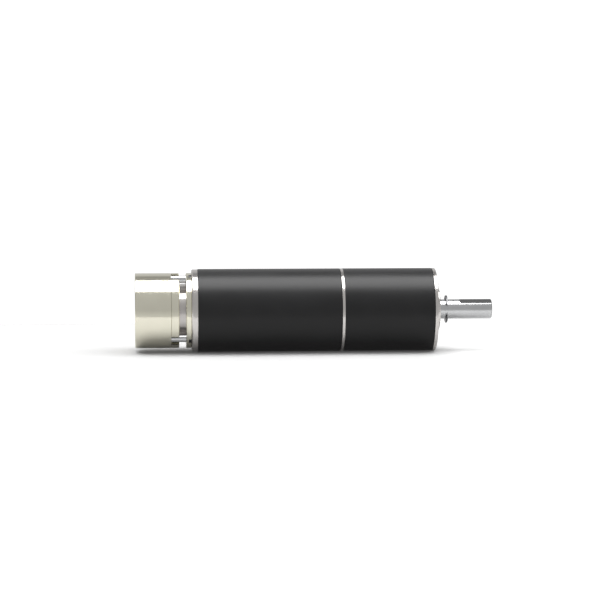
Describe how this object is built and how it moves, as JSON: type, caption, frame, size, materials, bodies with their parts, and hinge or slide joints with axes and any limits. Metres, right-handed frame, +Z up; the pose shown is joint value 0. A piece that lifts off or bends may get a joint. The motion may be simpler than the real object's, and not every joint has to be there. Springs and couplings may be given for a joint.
{
  "type": "gearmotor",
  "caption": "Cylindrical servo gearmotor: spring-applied brake, motor and planetary gearbox in line, with a flatted output shaft and a retaining clip.",
  "frame": {"origin": "centre of the gearbox's front mounting face, on the output axis", "axes": "+X out along the output shaft, +Z up as the object lies in use, +Y the side that the motor leads leave"},
  "size_m": [0.1814, 0.042, 0.042],
  "materials": {
    "black_anodised": "satin_black",
    "bright_aluminium": "turned",
    "nickel_plated_steel": "satin_nickel",
    "ground_steel": "ground",
    "hardened_steel": "machined",
    "spring_steel": "oiled",
    "bearing_steel": "polished",
    "black_oxide_steel": "blackened",
    "bronze_washer": "plain",
    "electrical_steel": "laminated",
    "copper_winding": "enamelled",
    "magnet_alloy": "nickel",
    "insulator_plastic": "moulded",
    "board_laminate": "circuit_board",
    "sensor_plastic": "moulded",
    "friction_material": "friction",
    "disc_alloy": "machined",
    "coil_resin": "potted",
    "black_rubber": "moulded"
  },
  "bodies": {
    "casing": {"gearbox_housing": "black_anodised", "motor_tube": "black_anodised", "front_flange": "bright_aluminium", "motor_front_shield": "bright_aluminium", "rear_end_cap": "bright_aluminium", "brake_flange": "nickel_plated_steel", "magnet_body": "nickel_plated_steel", "spacer_sleeves": "ground_steel", "ring_gear": "hardened_steel", "wave_washer": "spring_steel", "brake_springs": "spring_steel", "front_bearing_outer_ring": "bearing_steel", "rear_bearing_outer_ring": "bearing_steel", "motor_front_bearing_outer_ring": "bearing_steel", "motor_rear_bearing_outer_ring": "bearing_steel", "front_bearing_shields": "bearing_steel", "stator_core": "electrical_steel", "stator_coils": "copper_winding", "stator_insulators": "insulator_plastic", "hall_board": "board_laminate", "hall_sensors": "sensor_plastic", "brake_coil": "coil_resin", "brake_screws": "black_oxide_steel", "flange_screws": "black_oxide_steel", "lead_grommets": "black_rubber"},
    "rotor": {"motor_shaft": "ground_steel", "rotor_core": "electrical_steel", "rotor_magnets": "magnet_alloy", "sun_gear_1": "hardened_steel", "motor_front_bearing_inner_ring": "bearing_steel", "motor_rear_bearing_inner_ring": "bearing_steel", "brake_hub": "hardened_steel", "friction_disc": "disc_alloy", "friction_linings": "friction_material"},
    "first_carrier": {"carrier_1": "hardened_steel", "carrier_plate_1": "hardened_steel", "planet_pins_1": "ground_steel", "planet_washers_1": "bronze_washer", "sun_gear_2": "hardened_steel"},
    "output": {"output_shaft": "ground_steel", "output_carrier": "hardened_steel", "carrier_plate_2": "hardened_steel", "planet_pins_2": "ground_steel", "planet_washers_2": "bronze_washer", "retaining_clip": "spring_steel", "front_bearing_inner_ring": "bearing_steel", "rear_bearing_inner_ring": "bearing_steel", "bearing_spacer": "ground_steel"},
    "brake_armature": {"armature_plate": "nickel_plated_steel"},
    "planet_1a": {"planet_gear_1a": "hardened_steel"},
    "planet_1b": {"planet_gear_1b": "hardened_steel"},
    "planet_1c": {"planet_gear_1c": "hardened_steel"},
    "planet_2a": {"planet_gear_2a": "hardened_steel"},
    "planet_2b": {"planet_gear_2b": "hardened_steel"},
    "planet_2c": {"planet_gear_2c": "hardened_steel"},
    "planet_2d": {"planet_gear_2d": "hardened_steel"},
    "front_bearing_ball_set": {"front_bearing_balls": "bearing_steel"},
    "rear_bearing_ball_set": {"rear_bearing_balls": "bearing_steel"},
    "motor_front_bearing_ball_set": {"motor_front_bearing_balls": "bearing_steel"},
    "motor_rear_bearing_ball_set": {"motor_rear_bearing_balls": "bearing_steel"}
  },
  "joints": [
    {"name": "rotor_turn", "type": "hinge", "parent": "casing", "child": "rotor", "pos_m": [-0.083, 0, 0], "axis": [1, 0, 0], "continuous": true},
    {"name": "first_carrier_turn", "type": "hinge", "parent": "casing", "child": "first_carrier", "pos_m": [-0.03, 0, 0], "axis": [1, 0, 0], "continuous": true},
    {"name": "output_turn", "type": "hinge", "parent": "casing", "child": "output", "pos_m": [-0.01, 0, 0], "axis": [1, 0, 0], "continuous": true},
    {"name": "planet_1a_turn", "type": "hinge", "parent": "first_carrier", "child": "planet_1a", "pos_m": [-0.0353, 0.0105, 0], "axis": [1, 0, 0], "continuous": true},
    {"name": "planet_1b_turn", "type": "hinge", "parent": "first_carrier", "child": "planet_1b", "pos_m": [-0.0353, -0.00525, 0.00909], "axis": [1, 0, 0], "continuous": true},
    {"name": "planet_1c_turn", "type": "hinge", "parent": "first_carrier", "child": "planet_1c", "pos_m": [-0.0353, -0.00525, -0.00909], "axis": [1, 0, 0], "continuous": true},
    {"name": "planet_2a_turn", "type": "hinge", "parent": "output", "child": "planet_2a", "pos_m": [-0.0218, 0.0105, 0], "axis": [1, 0, 0], "continuous": true},
    {"name": "planet_2b_turn", "type": "hinge", "parent": "output", "child": "planet_2b", "pos_m": [-0.0218, 0, 0.0105], "axis": [1, 0, 0], "continuous": true},
    {"name": "planet_2c_turn", "type": "hinge", "parent": "output", "child": "planet_2c", "pos_m": [-0.0218, -0.0105, 0], "axis": [1, 0, 0], "continuous": true},
    {"name": "planet_2d_turn", "type": "hinge", "parent": "output", "child": "planet_2d", "pos_m": [-0.0218, 0, -0.0105], "axis": [1, 0, 0], "continuous": true},
    {"name": "front_bearing_balls_orbit", "type": "hinge", "parent": "casing", "child": "front_bearing_ball_set", "pos_m": [-0.0011, 0, 0], "axis": [1, 0, 0], "continuous": true},
    {"name": "rear_bearing_balls_orbit", "type": "hinge", "parent": "casing", "child": "rear_bearing_ball_set", "pos_m": [-0.0102, 0, 0], "axis": [1, 0, 0], "continuous": true},
    {"name": "motor_front_bearing_balls_orbit", "type": "hinge", "parent": "casing", "child": "motor_front_bearing_ball_set", "pos_m": [-0.0486, 0, 0], "axis": [1, 0, 0], "continuous": true},
    {"name": "motor_rear_bearing_balls_orbit", "type": "hinge", "parent": "casing", "child": "motor_rear_bearing_ball_set", "pos_m": [-0.1194, 0, 0], "axis": [1, 0, 0], "continuous": true},
    {"name": "armature_release", "type": "slide", "parent": "casing", "child": "brake_armature", "axis": [-1, 0, 0], "range_m": [0, 0.00008], "stiffness_N_per_m": 400, "springref_m": -0.005}
  ],
  "couplings": [
    {"joint": "first_carrier_turn", "follows": "rotor_turn", "ratio": 0.2},
    {"joint": "output_turn", "follows": "rotor_turn", "ratio": 0.04},
    {"joint": "planet_1a_turn", "follows": "rotor_turn", "ratio": -0.53333},
    {"joint": "planet_1b_turn", "follows": "rotor_turn", "ratio": -0.53333},
    {"joint": "planet_1c_turn", "follows": "rotor_turn", "ratio": -0.53333},
    {"joint": "planet_2a_turn", "follows": "rotor_turn", "ratio": -0.10667},
    {"joint": "planet_2b_turn", "follows": "rotor_turn", "ratio": -0.10667},
    {"joint": "planet_2c_turn", "follows": "rotor_turn", "ratio": -0.10667},
    {"joint": "planet_2d_turn", "follows": "rotor_turn", "ratio": -0.10667},
    {"joint": "front_bearing_balls_orbit", "follows": "rotor_turn", "ratio": 0.016138},
    {"joint": "rear_bearing_balls_orbit", "follows": "rotor_turn", "ratio": 0.016138},
    {"joint": "motor_front_bearing_balls_orbit", "follows": "rotor_turn", "ratio": 0.37778},
    {"joint": "motor_rear_bearing_balls_orbit", "follows": "rotor_turn", "ratio": 0.37778}
  ]
}
